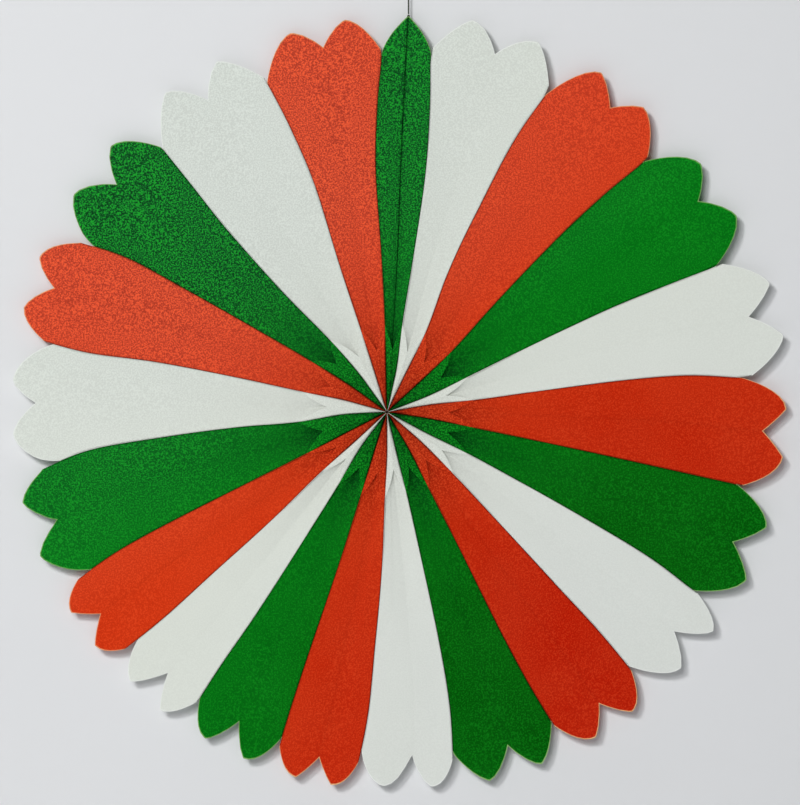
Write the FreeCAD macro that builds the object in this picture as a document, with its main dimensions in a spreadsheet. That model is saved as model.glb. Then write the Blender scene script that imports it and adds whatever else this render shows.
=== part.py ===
import FreeCAD, Part

import math
import os

from FreeCAD import Placement, Rotation, Vector

# A hanging fan rosette of folded paper, in millimetres.
#
# Twenty folded sheets stand side by side round a hub and make two-lobed petals in white, red and
# green. Two half leaves close the circle with a narrow pointed petal at the top. Each sheet has a
# crease down its middle and a chevron crease near the hub, where crest and valley change places.
# Its two sides are folded back into flaps, and each flap is glued to the next sheet's flap. A ring
# of thread through the leaves gathers them at the hub. A thread tied through the closing petal's
# tip ends in a knotted loop, and the fan hangs from it.
#
# Frame: the origin is where a nail carries the loop. X points right and Z up for someone who looks
# at the front of the fan, and the front faces -Y.
# Hub frame: the same directions, with the origin at the middle of the fan. A bearing is an angle
# in degrees clockwise from straight up. A height is measured towards the viewer.

COLOURS = ("green", "white", "red")
FIRST_PETAL = 2

# Each two-lobed petal, clockwise from the closing petal: its width as a share of the circle, in
# degrees, and how far the notch between its two lobes is inside the circle of the lobes' tips.
PETALS = (
    (17.5, 10.0),
    (19.6, 9.5),
    (20.6, 9.5),
    (17.8, 10.5),
    (18.2, 10.5),
    (17.8, 11.5),
    (16.7, 14.5),
    (16.2, 13.5),
    (16.1, 12.0),
    (15.3, 15.0),
    (14.3, 13.0),
    (15.3, 13.5),
    (13.9, 12.0),
    (15.3, 11.0),
    (19.8, 10.5),
    (18.9, 10.5),
    (19.0, 9.5),
    (19.3, 10.5),
    (21.2, 10.5),
    (17.6, 8.5),
)

SIZES = (
    ("fan_radius", 200.0, "circle through the tips of the lobes"),
    ("circle_right", 6.5, "centre of that circle, right of the hub"),
    ("circle_up", 2.6, "centre of that circle, above the hub"),
    ("paper_thickness", 0.15, "one sheet"),
    ("hub_packing", 0.84, "how much of the narrowest leaf's room at the hub the paper fills"),
    ("hub_crest", 3.1, "height of the crests at the hub"),
    ("hub_valley", -4.1, "height of the valleys at the hub"),
    ("point_crest", 2.6, "height of the crests at the chevron's point"),
    ("point_valley", -3.6, "height of the valleys at the chevron's point"),
    ("foot_crest", 1.6, "height of the crests at the chevron's feet"),
    ("foot_valley", -1.8, "height of the valleys at the chevron's feet"),
    ("rim_crest", 0.6, "height of the crests at the rim"),
    ("rim_valley", -0.4, "height of the valleys at the rim"),
    ("chevron_point", 32.0, "hub to the chevron's point, on a petal's middle"),
    ("chevron_run", 14.0, "how much further out its feet are, on the seams"),
    ("flap_start", 12.0, "hub to where the glued flaps start"),
    ("flap_back", -5.5, "height of the flaps' back edges"),
    ("junction_depth", 17.0, "tip circle to where two petals' outlines meet"),
    ("tip_share", 0.53, "place of a lobe's tip, as a share of the half petal"),
    ("tip_rounding", 2.5, "radius of a lobe's tip"),
    ("outer_bulge", 0.10, "rise of a lobe's outer arc, as a share of its chord"),
    ("inner_bulge", 0.07, "rise of a lobe's inner arc, as a share of its chord"),
    ("closing_bearing", 3.1, "bearing of the closing petal"),
    ("closing_width", 4.8, "share of the circle of each closing half leaf, in degrees"),
    ("closing_reach", 2.0, "how far the closing petal's corner stands past the tip circle"),
    ("closing_rounding", 2.0, "radius of the closing petal's tip"),
    ("closing_bulge", 0.09, "rise of its two arcs, as a share of their chord"),
    ("tie_thickness", 0.5, "thread of the ring that gathers the hub"),
    ("tie_clearance", 0.1, "round the threads, in their holes through the paper"),
    ("tie_edge", 0.6, "paper left between a leaf's inner edge and its hole"),
    ("tie_height", -0.5, "height of the ring"),
    ("thread_thickness", 0.6, "hanging thread"),
    ("thread_height", -3.3, "height at which the thread hangs"),
    ("thread_run", 32.0, "hanging thread between its two knots"),
    ("thread_gap", 0.1, "between the tied thread and the paper at its sides"),
    ("hole_depth", 5.0, "closing petal's tip to the hole for the thread"),
    ("knot_width", 1.8, "knots of the hanging thread"),
    ("knot_rise", 1.6, "closing petal's tip to the middle of the lower knot"),
    ("loop_width", 7.0, "hanging loop, between the middles of its two sides"),
    ("loop_length", 14.0, "hanging loop, from the nail to the middle of its knot"),
    ("cut_margin", 4.0, "how far cutters and uncut blanks reach past the outline"),
)

# How many bands of flat facets stand for the bent paper, inside and outside the chevron.
INNER_ROWS = 3
OUTER_ROWS = 6

# Sides of a bent thread's section, and how many bands of a knot run round it.
THREAD_SIDES = 8
KNOT_BANDS = 5


def make_sheet(doc):
    """Writes every driving size into the spreadsheet, one row each, and returns the sheet."""
    sheet = doc.addObject("Spreadsheet::Sheet", "Sizes")
    rows = list(SIZES)
    for number, (width, notch) in enumerate(PETALS, FIRST_PETAL):
        rows.append(("petal_%02d_width" % number, width, "share of the circle, in degrees"))
        rows.append(("petal_%02d_notch" % number, notch, "tip circle to the notch"))
    for row, (alias, value, note) in enumerate(rows, 1):
        sheet.set("A%d" % row, note)
        sheet.set("B%d" % row, str(value))
        sheet.setAlias("B%d" % row, alias)
    doc.recompute()
    return sheet


def outward(bearing):
    """Unit vector from the hub towards a bearing."""
    turn = math.radians(bearing)
    return Vector(math.sin(turn), 0, math.cos(turn))


def clockwise(bearing):
    """Unit vector that points clockwise at a bearing."""
    turn = math.radians(bearing)
    return Vector(math.cos(turn), 0, -math.sin(turn))


def at(bearing, distance, height=0.0):
    """Point of the hub frame."""
    return outward(bearing) * distance + Vector(0, -height, 0)


def tip_circle(sheet, bearing):
    """Distance from the hub to the circle of the lobe tips, whose centre is off the hub."""
    shift = Vector(sheet.circle_right, 0, sheet.circle_up)
    along = shift.dot(outward(bearing))
    return along + math.sqrt(sheet.fan_radius**2 - shift.dot(shift) + along**2)


class Outline:
    """Arcs and lines in the plane of the fan, drawn one after another."""

    def __init__(self, start):
        self.last = start
        self.edges = []

    def line(self, end):
        self.edges.append(Part.LineSegment(self.last, end).toShape())
        self.last = end

    def arc(self, middle, end):
        self.edges.append(Part.Arc(self.last, middle, end).toShape())
        self.last = end


def bulged_circle(start, end, bulge):
    """Centre and radius of the arc between two points that bulges to the left of its way."""
    chord = end - start
    rise = bulge * chord.Length
    radius = (chord.Length**2 / 4 + rise**2) / (2 * rise)
    left = Vector(-chord.z, 0, chord.x).normalize()
    return (start + end) * 0.5 + left * (rise - radius), radius


def on_circle(circle, towards):
    """Point of a circle in the direction of another point."""
    centre, radius = circle
    return centre + (towards - centre).normalize() * radius


def rounded_corner(first, second, corner, rounding):
    """Points where a small arc leaves one circle, tops out, and joins the other circle."""
    (centre_a, radius_a), (centre_b, radius_b) = first, second
    reach_a, reach_b = radius_a - rounding, radius_b - rounding
    between = centre_b - centre_a
    gap = between.Length
    along = (gap**2 + reach_a**2 - reach_b**2) / (2 * gap)
    aside = math.sqrt(reach_a**2 - along**2)
    unit = Vector(between).normalize()
    across = Vector(-unit.z, 0, unit.x)
    choices = [centre_a + unit * along + across * side * aside for side in (-1, 1)]
    middle = min(choices, key=lambda point: point.distanceToPoint(corner))
    return on_circle(first, middle), on_circle((middle, rounding), corner), on_circle(second, middle)


def add_lobe(outline, corner, end, bulges, rounding):
    """Draws a lobe: one convex arc up to its rounded corner and another down to its end.

    Returns the top of the rounded corner.
    """
    start = outline.last
    first = bulged_circle(start, corner, bulges[0])
    second = bulged_circle(corner, end, bulges[1])
    leave, top, join = rounded_corner(first, second, corner, rounding)
    outline.arc(on_circle(first, (start + leave) * 0.5), leave)
    outline.arc(top, join)
    outline.arc(on_circle(second, (join + end) * 0.5), end)
    return top


def junctions(sheet, span):
    """Where the outline of a petal or closing leaf pair meets its two neighbours' outlines."""
    return [at(side, tip_circle(sheet, side) - sheet.junction_depth) for side in span]


def add_closing_lobe(sheet, outline, last):
    """Draws the closing petal's single pointed lobe and returns its top."""
    axis = sheet.closing_bearing
    corner = at(axis, tip_circle(sheet, axis) + sheet.closing_reach)
    bulges = (sheet.closing_bulge, sheet.closing_bulge)
    return add_lobe(outline, corner, last, bulges, sheet.closing_rounding)


def rim_cutter(doc, sheet, name, span, draw_lobes):
    """Solid that cuts a blank to its lobed outline, from the outline outwards."""
    left, right = span
    first, last = junctions(sheet, span)
    outline = Outline(first - clockwise(left) * sheet.cut_margin)
    outer = sheet.fan_radius * 1.2
    start = outline.last
    outline.line(first)
    draw_lobes(outline, last)
    outline.line(last + clockwise(right) * sheet.cut_margin)
    outline.line(at(right, outer) + clockwise(right) * sheet.cut_margin)
    outline.line(at(left, outer) - clockwise(left) * sheet.cut_margin)
    outline.line(start)
    face = Part.Face(Part.Wire(outline.edges))
    drawn = doc.addObject("Part::Feature", name + "_rim_face")
    drawn.Shape = face
    cutter = doc.addObject("Part::Extrusion", name + "_rim_cutter")
    cutter.Base = drawn
    cutter.DirMode = "Custom"
    cutter.Dir = Vector(0, 1, 0)
    cutter.Solid = True
    cutter.setExpression("LengthFwd", "Sizes.cut_margin - Sizes.flap_back")
    cutter.setExpression("LengthRev", "Sizes.cut_margin + Sizes.hub_crest")
    return cutter


def crease_rows(sheet, hub_radius, reach):
    """Rows across a blank, from the hub outwards.

    A row is its distance from the hub, its crest and valley heights, and whether the middle of
    the petal is the crest there. Inside the chevron it is, and outside it the seams are.
    """
    point = sheet.chevron_point
    rows = []
    for step in range(INNER_ROWS + 1):
        distance = hub_radius * (point / hub_radius) ** (step / INNER_ROWS)
        share = (distance - hub_radius) / (point - hub_radius)
        crest = sheet.hub_crest + share * (sheet.point_crest - sheet.hub_crest)
        valley = sheet.hub_valley + share * (sheet.point_valley - sheet.hub_valley)
        rows.append((distance, crest, valley, True))
    foot = point + sheet.chevron_run
    for step in range(OUTER_ROWS + 1):
        distance = foot * (reach / foot) ** (step / OUTER_ROWS)
        share = (distance - foot) / (reach - foot)
        crest = sheet.foot_crest + share * (sheet.rim_crest - sheet.foot_crest)
        valley = sheet.foot_valley + share * (sheet.rim_valley - sheet.foot_valley)
        rows.append((distance, crest, valley, False))
    return rows


def leaf_drop(half_width, rise, thickness):
    """Height of a leaf's edge when its crease lines span half_width by rise.

    The leaf runs from corner to corner of that box and is thickness thick, measured square to it.
    """
    room = half_width**2 - thickness**2
    slant = half_width * math.sqrt(half_width**2 + rise**2 - thickness**2)
    return thickness * (slant - thickness * rise) / room


class Blank:
    """Folded sheet of one petal or half leaf before its rim is cut.

    Its columns are the creases, as angles from the axis; the one at zero is the petal's middle.
    """

    def __init__(self, axis, columns, rows, thickness):
        self.axis = axis
        self.columns = columns
        self.rows = rows
        self.front = []
        self.back = []
        half_width = max(abs(math.tan(math.radians(angle))) for angle in columns)
        for distance, crest, valley, middle_up in rows:
            drop = leaf_drop(distance * half_width, crest - valley, thickness)
            front = []
            back = []
            for angle in columns:
                up = (angle == 0) == middle_up
                front.append(self.place(distance, angle, crest if up else valley + drop))
                back.append(self.place(distance, angle, crest - drop if up else valley))
            self.front.append(front)
            self.back.append(back)

    def place(self, distance, angle, height):
        """Point on a column of the blank."""
        aside = distance * math.tan(math.radians(angle))
        return at(self.axis, distance, height) + clockwise(self.axis) * aside

    def skin(self, grid):
        """Faces of one side: two flat triangles for each half of each band."""
        faces = []
        for row in range(len(grid) - 1):
            for column in range(len(self.columns) - 1):
                near = (grid[row][column], grid[row][column + 1])
                far = (grid[row + 1][column], grid[row + 1][column + 1])
                middle = 0 if self.columns[column] == 0 else 1
                crease = (near[middle], far[1 - middle])
                faces.append(flat_face([*crease, far[middle]]))
                faces.append(flat_face([*crease, near[1 - middle]]))
        return faces

    def solid(self):
        """Closed solid of the sheet without its flaps."""
        faces = self.skin(self.front) + self.skin(self.back)
        for end in (0, -1):
            faces.append(flat_face(self.front[end] + self.back[end][::-1]))
            side = [row[end] for row in self.front] + [row[end] for row in self.back][::-1]
            faces.append(flat_face(side))
        shell = Part.Shell(faces)
        shell.sewShape()
        solid = Part.Solid(shell)
        if solid.Volume < 0:
            solid.reverse()
        return solid

    def flap(self, column, start, back_height, thickness, inward):
        """Flap along one crease, from a starting distance to the rim, folded straight back."""
        angle = self.columns[column]
        line = []
        for row, (distance, _, _, _) in enumerate(self.rows):
            middle = (self.front[row][column] + self.back[row][column]) * 0.5
            line.append((distance, -middle.y))
        outer = [(distance, height) for distance, height in line if distance > start]
        after = len(line) - len(outer)
        (near, low), (far, high) = line[after - 1], line[after]
        begin = low + (high - low) * (start - near) / (far - near)
        top = [(start, begin)] + outer
        points = [self.place(distance, angle, height) for distance, height in top]
        points.append(self.place(top[-1][0], angle, back_height))
        points.append(self.place(start, angle, back_height))
        side = clockwise(self.axis + angle) * inward * thickness
        return flat_face(points).extrude(side)


def flat_face(points):
    """Flat face with the given corners."""
    return Part.Face(Part.makePolygon([*points, points[0]]))


def add_blank(doc, name, blank, flaps):
    """Adds a blank and its flaps to the document as one folded sheet."""
    feature = doc.addObject("Part::Feature", name + "_blank")
    feature.Shape = blank.solid().fuse(flaps).removeSplitter()
    return feature


def cut_from(doc, name, base, tools):
    """Cuts the tools from a blank one after another. The last result has the piece's name."""
    for number, tool in enumerate(tools, 1):
        last = number == len(tools)
        cut = doc.addObject("Part::Cut", name if last else "%s_cut_%d" % (name, number))
        cut.Base = base
        cut.Tool = tool
        base = cut
    return base


def thread_section(middle, way, radius):
    """Section of a bent thread, square to its way: a polygon in place of a circle."""
    turn = Rotation(Vector(0, 0, 1), way)
    corners = []
    for side in range(THREAD_SIDES):
        step = math.radians(360 * side / THREAD_SIDES)
        aside = turn.multVec(Vector(math.cos(step), math.sin(step), 0))
        corners.append(middle + aside * radius)
    return Part.makePolygon([*corners, corners[0]])


def bent_thread(doc, name, outline, start, way, radius):
    """Thread along an outline of lines and arcs."""
    strand = doc.addObject("Part::Feature", name)
    section = thread_section(start, way, radius)
    strand.Shape = Part.Wire(outline.edges).makePipeShell([section], True, False, 2)
    return strand


def centre_tie(doc, hub, spans):
    """Thread pulled tight through every leaf, straight from seam to seam round the hub."""
    corners = [hub.tie_point(right) for _, right in spans]
    start = (corners[-1] + corners[0]) * 0.5
    way = (corners[0] - corners[-1]).normalize()
    path = Part.makePolygon([start, *corners, start])
    ring = doc.addObject("Part::Feature", "centre_tie")
    ring.Shape = path.makePipeShell([thread_section(start, way, hub.tie_radius)], True, False, 1)
    ring.Placement = hub.place
    return ring


def tie_hole(doc, hub, name, span):
    """Cutter for the six-sided needle holes that the centre tie goes through in one petal."""
    left, right = (hub.tie_point(side) for side in span)
    way = (right - left).normalize()
    cutter = doc.addObject("Part::Prism", name + "_tie_hole")
    cutter.Polygon = 6
    cutter.setExpression(
        "Circumradius", "(Sizes.tie_thickness / 2 + Sizes.tie_clearance) / cos(30)"
    )
    cutter.Height = left.distanceToPoint(right) + 2 * hub.tie_radius
    start = hub.centre + left - way * hub.tie_radius
    cutter.Placement = Placement(start, Rotation(Vector(0, 0, 1), way))
    return cutter


def petal_piece(doc, sheet, hub, name, span, notch):
    """One two-lobed petal: a folded sheet with a flap down each side."""
    left, right = span
    axis = (left + right) / 2
    half = (right - left) / 2
    reach = max(tip_circle(sheet, side) for side in span) + sheet.cut_margin
    rows = crease_rows(sheet, hub.radius, reach)
    paper = sheet.paper_thickness
    blank = Blank(axis, (-half, 0, half), rows, paper)
    flaps = [
        blank.flap(0, sheet.flap_start, sheet.flap_back, paper, 1),
        blank.flap(2, sheet.flap_start, sheet.flap_back, paper, -1),
    ]

    def draw_lobes(outline, last):
        tips = (left + half * sheet.tip_share, right - half * sheet.tip_share)
        corners = [at(tip, tip_circle(sheet, tip) + sheet.tip_rounding / 2) for tip in tips]
        middle = at(axis, tip_circle(sheet, axis) - notch)
        bulges = (sheet.outer_bulge, sheet.inner_bulge)
        add_lobe(outline, corners[0], middle, bulges, sheet.tip_rounding)
        add_lobe(outline, corners[1], last, bulges[::-1], sheet.tip_rounding)

    cutter = rim_cutter(doc, sheet, name, span, draw_lobes)
    cutter.Base.Placement = hub.place
    feature = add_blank(doc, name, blank, flaps)
    feature.Placement = hub.place
    return cut_from(doc, name, feature, [cutter, tie_hole(doc, hub, name, span)])


class Hub:
    """Where the hub is in the part's frame, and how close to it the leaves reach."""

    def __init__(self, sheet, spans, closing_width):
        narrowest = min([closing_width] + [(right - left) / 2 for left, right in spans])
        self.radius = sheet.paper_thickness / (
            sheet.hub_packing * math.tan(math.radians(narrowest))
        )
        axis = sheet.closing_bearing
        self.closing_span = (axis - closing_width, axis + closing_width)
        first, last = junctions(sheet, self.closing_span)
        tip = add_closing_lobe(sheet, Outline(first), last).Length
        knot = at(axis, tip + sheet.knot_rise)
        flat = knot_flat(sheet)
        drop = sheet.loop_length + 2 * flat + sheet.thread_run
        self.tie_radius = sheet.tie_thickness / 2
        self.tie_height = sheet.tie_height
        edge = self.radius + sheet.tie_edge + sheet.tie_clearance + self.tie_radius
        widest = max((right - left) / 2 for left, right in spans)
        self.tie_distance = edge / math.cos(math.radians(widest))
        self.tip = tip
        self.knot = Vector(0, 0, -drop)
        self.centre = Vector(-knot.x, sheet.thread_height, -drop - knot.z)
        self.place = Placement(self.centre, Rotation())

    def tie_point(self, bearing):
        """Where the centre tie passes a seam, in the hub frame."""
        return at(bearing, self.tie_distance, self.tie_height)


def knot_flat(sheet):
    """Distance from a knot's middle to the flat end where the thread leaves it."""
    return math.sqrt(sheet.knot_width**2 - sheet.thread_thickness**2) / 2


def closing_leaves(doc, sheet, hub):
    """The two half leaves that close the circle, glued back to back along the top petal."""
    axis = sheet.closing_bearing
    width = axis - hub.closing_span[0]

    def draw_lobe(outline, last):
        add_closing_lobe(sheet, outline, last)

    cutter = rim_cutter(doc, sheet, "closing_petal", hub.closing_span, draw_lobe)
    cutter.Base.Placement = hub.place
    holes = [tie_hole(doc, hub, "closing_petal", hub.closing_span), thread_hole(doc, sheet, hub)]
    rows = crease_rows(sheet, hub.radius, hub.tip + sheet.cut_margin)
    paper = sheet.paper_thickness
    fin_start = sheet.chevron_point + sheet.chevron_run
    pieces = []
    for name, columns, sides in (
        ("closing_leaf_left", (-width, 0), (1, -1)),
        ("closing_leaf_right", (0, width), (1, -1)),
    ):
        blank = Blank(axis, columns, rows, paper)
        flaps = []
        for column, inward in enumerate(sides):
            start = fin_start if columns[column] == 0 else sheet.flap_start
            flaps.append(blank.flap(column, start, sheet.flap_back, paper, inward))
        feature = add_blank(doc, name, blank, flaps)
        feature.Placement = hub.place
        pieces.append(cut_from(doc, name, feature, [cutter, *holes]))
    return pieces


def knot(doc, sheet, name, centre):
    """Knot: a ball of thread, with a flat as wide as the thread at its top and bottom."""
    radius = sheet.knot_width / 2
    limit = math.asin(knot_flat(sheet) / radius)
    corners = [Vector(0, 0, -knot_flat(sheet))]
    for band in range(KNOT_BANDS + 1):
        slope = limit * (2 * band / KNOT_BANDS - 1)
        corners.append(Vector(math.cos(slope), 0, math.sin(slope)) * radius)
    corners.append(Vector(0, 0, knot_flat(sheet)))
    ball = doc.addObject("Part::Feature", name)
    ball.Shape = flat_face(corners).revolve(Vector(0, 0, 0), Vector(0, 0, 1), 360)
    ball.Placement = Placement(centre, Rotation())
    return ball


def fused(doc, name, shapes):
    """Joins shapes of the same thread into one piece."""
    piece = doc.addObject("Part::MultiFuse", name)
    piece.Shapes = shapes
    return piece


def tip_tie(doc, sheet, hub, bearing):
    """Thread through the closing petal's hole and round its tip, knotted just above it."""
    up = outward(bearing)
    half = sheet.paper_thickness + sheet.thread_gap + sheet.thread_thickness / 2
    side = clockwise(bearing) * half
    hole = hub.centre + at(bearing, hub.tip - sheet.hole_depth, sheet.thread_height)
    bend = hole + up * half
    start = hub.knot - side
    path = Outline(start)
    path.line(bend - side)
    path.arc(hole, bend + side)
    path.line(hub.knot + side)
    strand = bent_thread(doc, "tip_tie_strand", path, start, up, sheet.thread_thickness / 2)
    return fused(doc, "tip_tie", [strand, knot(doc, sheet, "tip_tie_knot", hub.knot)])


def thread_hole(doc, sheet, hub):
    """Cutter for the hole through the closing petal's two glued fins."""
    bearing = sheet.closing_bearing
    cutter = doc.addObject("Part::Cylinder", "thread_hole")
    cutter.setExpression("Radius", "Sizes.thread_thickness / 2 + Sizes.tie_clearance")
    cutter.setExpression("Height", "4 * Sizes.thread_thickness")
    middle = hub.centre + at(bearing, hub.tip - sheet.hole_depth, sheet.thread_height)
    across = clockwise(bearing)
    start = middle - across * (2 * sheet.thread_thickness)
    cutter.Placement = Placement(start, Rotation(Vector(0, 0, 1), across))
    return cutter


def hanging_thread(doc, sheet, hub):
    """Taut thread from the tip's knot up to the loop's knot."""
    thread = doc.addObject("Part::Cylinder", "hanging_thread")
    thread.setExpression("Radius", "Sizes.thread_thickness / 2")
    thread.setExpression("Height", "Sizes.thread_run")
    thread.Placement = Placement(hub.knot + Vector(0, 0, knot_flat(sheet)), Rotation())
    return thread


def hanging_loop(doc, sheet):
    """Loop that goes over a nail, with the knot that closes it."""
    radius = sheet.loop_width / 2
    centre = Vector(0, 0, sheet.thread_thickness / 2 - radius)
    closing = Vector(0, 0, -sheet.loop_length)
    slant = math.asin(radius / centre.distanceToPoint(closing))
    left, right = (
        centre + Vector(side * math.cos(slant), 0, -math.sin(slant)) * radius for side in (-1, 1)
    )
    path = Outline(closing)
    path.line(right)
    path.arc(centre + Vector(0, 0, radius), left)
    path.line(closing)
    way = (right - closing).normalize()
    radius = sheet.thread_thickness / 2
    strand = bent_thread(doc, "hanging_loop_strand", path, closing, way, radius)
    return fused(doc, "hanging_loop", [strand, knot(doc, sheet, "hanging_loop_knot", closing)])


def petal_spans(sheet):
    """Bearings of both sides of each two-lobed petal, and the closing half leaf's width.

    The shares are fitted to the whole circle, so the rosette closes whatever they are.
    """
    numbers = range(FIRST_PETAL, FIRST_PETAL + len(PETALS))
    widths = [getattr(sheet, "petal_%02d_width" % number) for number in numbers]
    fit = 360 / (sum(widths) + 2 * sheet.closing_width)
    closing = sheet.closing_width * fit
    side = sheet.closing_bearing + closing
    spans = []
    for width in widths:
        spans.append((side, side + width * fit))
        side += width * fit
    return spans, closing


def build(doc):
    """Makes every piece of the fan and returns the named ones."""
    sheet = make_sheet(doc)
    spans, closing = petal_spans(sheet)
    hub = Hub(sheet, spans, closing)
    pieces = [centre_tie(doc, hub, [hub.closing_span, *spans])]
    for number, span in enumerate(spans, FIRST_PETAL):
        colour = COLOURS[(number - 1) % len(COLOURS)]
        name = "petal_%02d_%s" % (number, colour)
        notch = getattr(sheet, "petal_%02d_notch" % number)
        pieces.append(petal_piece(doc, sheet, hub, name, span, notch))
    pieces += closing_leaves(doc, sheet, hub)
    pieces.append(tip_tie(doc, sheet, hub, sheet.closing_bearing))
    pieces.append(hanging_thread(doc, sheet, hub))
    pieces.append(hanging_loop(doc, sheet))
    doc.recompute()
    return pieces


def check(doc, pieces):
    """Stops with a message if an object failed or a piece isn't one valid solid."""
    failed = [thing.Label for thing in doc.Objects if {"Invalid", "Error"} & set(thing.State)]
    for piece in pieces:
        shape = piece.Shape
        if shape.isNull() or not shape.isValid() or len(shape.Solids) != 1:
            failed.append(piece.Label)
    if failed:
        raise RuntimeError("these failed: " + ", ".join(failed))


def main():
    """Builds the fan and writes each piece to a file named after it."""
    doc = FreeCAD.newDocument("paper_fan_rosette")
    pieces = build(doc)
    check(doc, pieces)
    os.makedirs("parts", exist_ok=True)
    for piece in pieces:
        piece.Shape.exportStep("parts/%s.step" % piece.Label)
    print("%d pieces written" % len(pieces))


main()
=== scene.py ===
"""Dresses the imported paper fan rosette: folded petals, its threads, and a pale studio round it."""

import logging
import math
from dataclasses import dataclass, field
from enum import Enum
from typing import Iterator

import bpy
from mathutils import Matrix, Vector, noise

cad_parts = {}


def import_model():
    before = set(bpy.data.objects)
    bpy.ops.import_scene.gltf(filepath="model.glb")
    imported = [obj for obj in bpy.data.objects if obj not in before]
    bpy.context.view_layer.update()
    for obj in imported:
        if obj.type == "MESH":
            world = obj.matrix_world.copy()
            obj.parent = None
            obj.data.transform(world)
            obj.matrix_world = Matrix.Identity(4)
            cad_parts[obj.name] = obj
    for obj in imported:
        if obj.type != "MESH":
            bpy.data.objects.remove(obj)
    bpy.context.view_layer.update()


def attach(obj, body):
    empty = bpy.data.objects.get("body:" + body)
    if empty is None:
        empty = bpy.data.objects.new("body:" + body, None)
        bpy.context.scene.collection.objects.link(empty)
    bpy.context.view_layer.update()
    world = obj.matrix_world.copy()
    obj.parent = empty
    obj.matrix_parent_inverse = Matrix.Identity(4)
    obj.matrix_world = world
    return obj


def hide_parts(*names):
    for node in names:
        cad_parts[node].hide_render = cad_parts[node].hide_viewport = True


LOG = logging.getLogger("rosette")
MM = 0.001
HUB = Vector((-11.1447, -3.3, -253.4774))
Rgb = tuple[float, float, float, float]

# What every point of a sheet tells the materials, each from 0 to 1.
MARKS = ("fold", "valley", "rim", "painted_sheen", "grit", "painted_side_shade")

# Bearings in degrees towards which painted sheen washes the paper out and painted shade darkens it.
SHEEN_TOWARDS = 325.0
SIDE_SHADE_TOWARDS = 140.0

# Chevron point of the closing petal, and how much further from the hub the chevrons' feet are.
CLOSING_POINT = 32.0
FOOT_STEP = 14.0

# Where a thread's plies run and how thick each is, as shares of the thread's outer radius, and
# the length of one step along them in millimetres.
PLY_OFFSET = 0.48
PLY_RADIUS = 0.52
PLY_STEP = 0.16

# Direction from which the first point of a thread takes its direction across.
FIRST_NORMAL = Vector((0.31, 0.9, 0.29))


class Colour(Enum):
    """The three papers of the fan."""

    GREEN = "green"
    WHITE = "white"
    RED = "red"


def blend(low: float, high: float, share: float) -> float:
    """Value a share of the way from low to high."""
    return low + (high - low) * share


def ease(low: float, high: float, value: float) -> float:
    """Smooth step from 0 at low to 1 at high."""
    share = min(max((value - low) / (high - low), 0.0), 1.0)
    return share * share * (3 - 2 * share)


def through(stations: tuple[float, ...], values: tuple[float, ...], at: float) -> float:
    """Reads a smooth curve through values kept at stations.

    Args:
        stations: where the values are kept, in rising order.
        values: one value for each station.
        at: where to read the curve. Past the ends it keeps the end value.

    Returns:
        The curve's value there.
    """
    if at <= stations[0]:
        return values[0]
    if at >= stations[-1]:
        return values[-1]
    slopes = []
    for index in range(len(stations)):
        before, after = max(index - 1, 0), min(index + 1, len(stations) - 1)
        slopes.append((values[after] - values[before]) / (stations[after] - stations[before]))
    index = next(i for i in range(len(stations) - 1) if at <= stations[i + 1])
    width = stations[index + 1] - stations[index]
    t = (at - stations[index]) / width
    return (
        (2 * t**3 - 3 * t**2 + 1) * values[index]
        + (t**3 - 2 * t**2 + t) * width * slopes[index]
        + (3 * t**2 - 2 * t**3) * values[index + 1]
        + (t**3 - t**2) * width * slopes[index + 1]
    )


def in_frame(bearing: float, distance: float, height: float) -> Vector:
    """Point of the part's frame, in millimetres, from a clockwise bearing about the hub."""
    turn = math.radians(bearing)
    return HUB + Vector((math.sin(turn) * distance, -height, math.cos(turn) * distance))


@dataclass(frozen=True)
class Seam:
    """The line where two petals are glued together.

    Its bearing is kept at six distances from the hub, because the folded paper bends it a little.
    """

    bearings: tuple[float, ...]
    foot: float = 46.0

    STATIONS = (20.8, 41.5, 75.2, 121.9, 155.6, 182.6)

    def bearing(self, distance: float) -> float:
        """Bearing of the seam at a distance from the hub, in degrees."""
        return through(self.STATIONS, self.bearings, distance)


@dataclass(frozen=True)
class Lobes:
    """Outline of a petal with two lobes.

    Tips and notch are each a share of the way across the petal and a depth in millimetres below
    the circle through the tips. The ends are the depths where the outline meets the neighbours.
    The powers say how full the lobes are, on the outer sides and towards the notch.
    """

    first_tip: tuple[float, float]
    notch: tuple[float, float]
    second_tip: tuple[float, float]
    ends: tuple[float, float] = (17.0, 17.0)
    powers: tuple[float, float] = (1.7, 1.4)

    def depth(self, share: float) -> float:
        """Depth of the outline below the tip circle.

        Args:
            share: place across the petal, from 0 to 1 clockwise.

        Returns:
            The depth in millimetres.
        """
        (tip_a, depth_a), (tip_b, depth_b) = self.first_tip, self.second_tip
        notch, bottom = self.notch
        outer, inner = self.powers
        if share < tip_a:
            return depth_a + (self.ends[0] - depth_a) * (1 - share / tip_a) ** outer
        if share > tip_b:
            return depth_b + (self.ends[1] - depth_b) * ((share - tip_b) / (1 - tip_b)) ** outer
        if share < notch:
            return depth_a + (bottom - depth_a) * ((share - tip_a) / (notch - tip_a)) ** inner
        return depth_b + (bottom - depth_b) * ((tip_b - share) / (tip_b - notch)) ** inner

    def marks(self) -> tuple[float, ...]:
        """Shares at which the outline needs a column of its own."""
        return (self.first_tip[0], self.notch[0], self.second_tip[0])


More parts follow.
